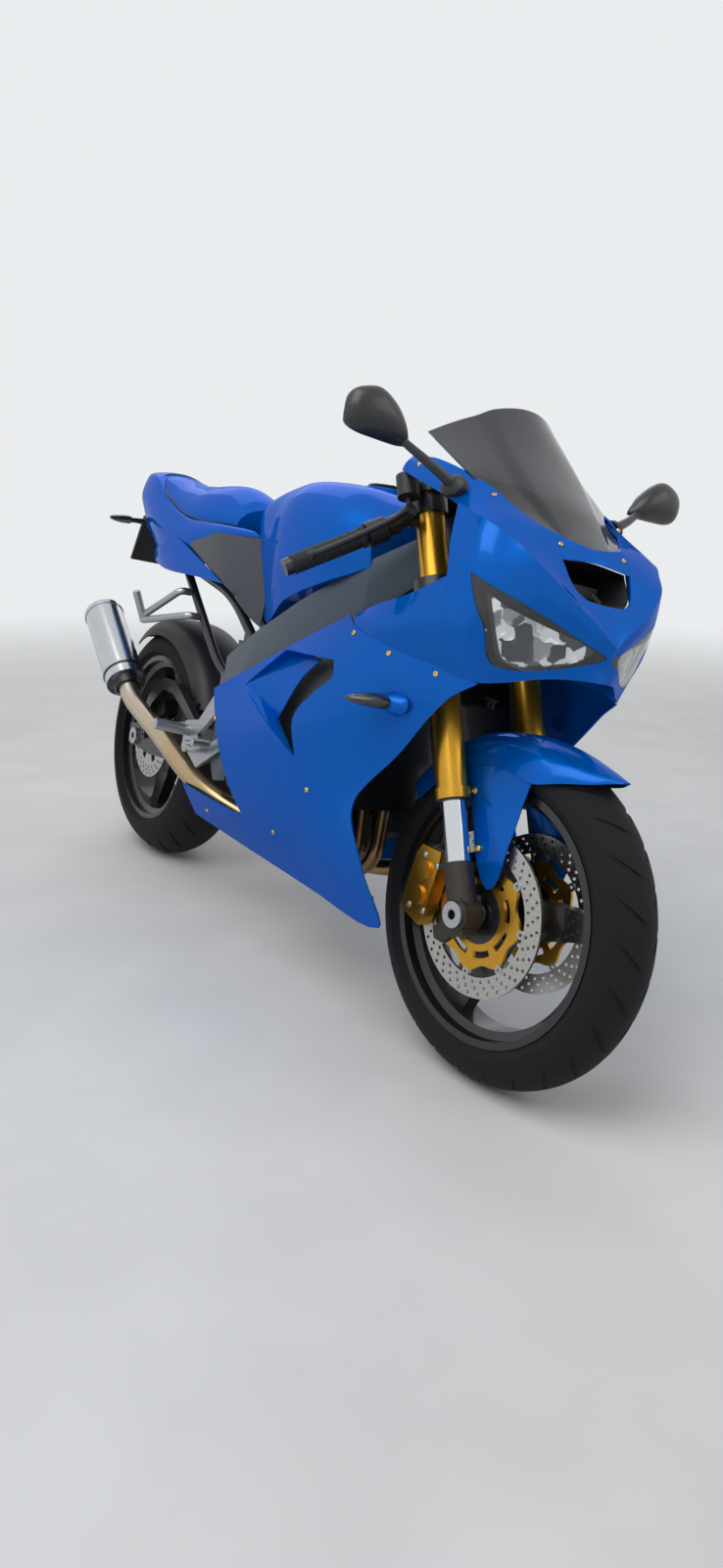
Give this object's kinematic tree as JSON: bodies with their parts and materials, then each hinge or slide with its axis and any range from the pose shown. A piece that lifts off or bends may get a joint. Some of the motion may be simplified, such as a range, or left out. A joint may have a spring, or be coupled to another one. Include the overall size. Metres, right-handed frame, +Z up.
{
  "type": "sport motorcycle",
  "caption": "Fully faired sport motorcycle with steering front end, twin front discs, free-turning wheels, drive chain, side stand and a hinged fuel cap, parked on its stand.",
  "frame": {"origin": "floor under the middle of the parked machine's bounding box", "axes": "+X forward along the wheels, +Y to the rider's left, +Z up; the machine leans 11 degrees to +Y on its side stand"},
  "size_m": [2.0882, 0.7661, 1.138],
  "materials": {
    "body_blue": "gloss",
    "frame_grey": "satin",
    "black_metal": "satin",
    "engine_metal": "satin",
    "bare_aluminium": "satin",
    "steel": "brushed",
    "exhaust_steel": "satin",
    "gold_anodised": "gloss",
    "chrome_slider": "gloss",
    "tyre": "matte",
    "black_plastic": "matte",
    "black_rubber": "matte",
    "seat_cover": "matte",
    "smoked_glass": "gloss",
    "lamp_glass": "gloss"
  },
  "bodies": {
    "chassis": {"main_frame": "frame_grey", "subframe": "black_metal", "engine": "engine_metal", "radiator": "black_metal", "exhaust_pipes": "exhaust_steel", "silencer": "steel", "swingarm": "black_metal", "rear_axle": "steel", "shock_absorber": "steel", "drive_chain": "steel", "rear_hugger": "black_plastic", "rear_caliper": "gold_anodised", "footrests": "bare_aluminium", "fuel_tank": "body_blue", "rider_seat": "seat_cover", "seat_cowl": "body_blue", "tail_fairing": "body_blue", "plate_bracket": "black_plastic", "signal_lamps": "black_plastic", "nose_fairing": "body_blue", "windscreen": "smoked_glass", "headlights": "lamp_glass", "side_fairing_right": "body_blue", "side_fairing_left": "body_blue", "instrument_cluster": "black_plastic", "mirrors": "black_plastic"},
    "steering": {"yokes": "black_metal", "fork_tubes": "gold_anodised", "fork_legs": "chrome_slider", "front_axle": "steel", "front_calipers": "gold_anodised", "front_mudguard": "body_blue", "clip_ons": "black_rubber", "control_levers": "black_metal", "brake_hoses": "black_rubber"},
    "front_wheel": {"front_rim": "black_metal", "front_tyre": "tyre", "front_discs": "steel"},
    "rear_wheel": {"rear_rim": "black_metal", "rear_tyre": "tyre", "rear_disc": "steel", "rear_sprocket": "steel"},
    "side_stand": {"side_stand": "black_metal"},
    "fuel_cap": {"fuel_cap": "bare_aluminium"}
  },
  "joints": [
    {"name": "steering", "type": "hinge", "parent": "chassis", "child": "steering", "pos_m": [0.45404, -0.03577, 0.84654], "axis": [-0.4139, 0.1737, 0.8936], "range_deg": [-30, 24]},
    {"name": "front_wheel_spin", "type": "hinge", "parent": "steering", "child": "front_wheel", "pos_m": [0.75121, -0.14231, 0.28869], "axis": [-0.0476, 0.9761, -0.2118], "continuous": true},
    {"name": "rear_wheel_spin", "type": "hinge", "parent": "chassis", "child": "rear_wheel", "pos_m": [-0.64373, -0.1399, 0.31087], "axis": [0, 0.9816, -0.1908], "continuous": true},
    {"name": "side_stand", "type": "hinge", "parent": "chassis", "child": "side_stand", "pos_m": [-0.08377, -0.00624, 0.23855], "axis": [0.0003, 0.9767, 0.2145], "range_deg": [0, 87]},
    {"name": "fuel_cap", "type": "hinge", "parent": "chassis", "child": "fuel_cap", "pos_m": [0.12087, -0.00836, 0.98754], "axis": [0, -0.9816, 0.1908], "range_deg": [0, 95]}
  ]
}
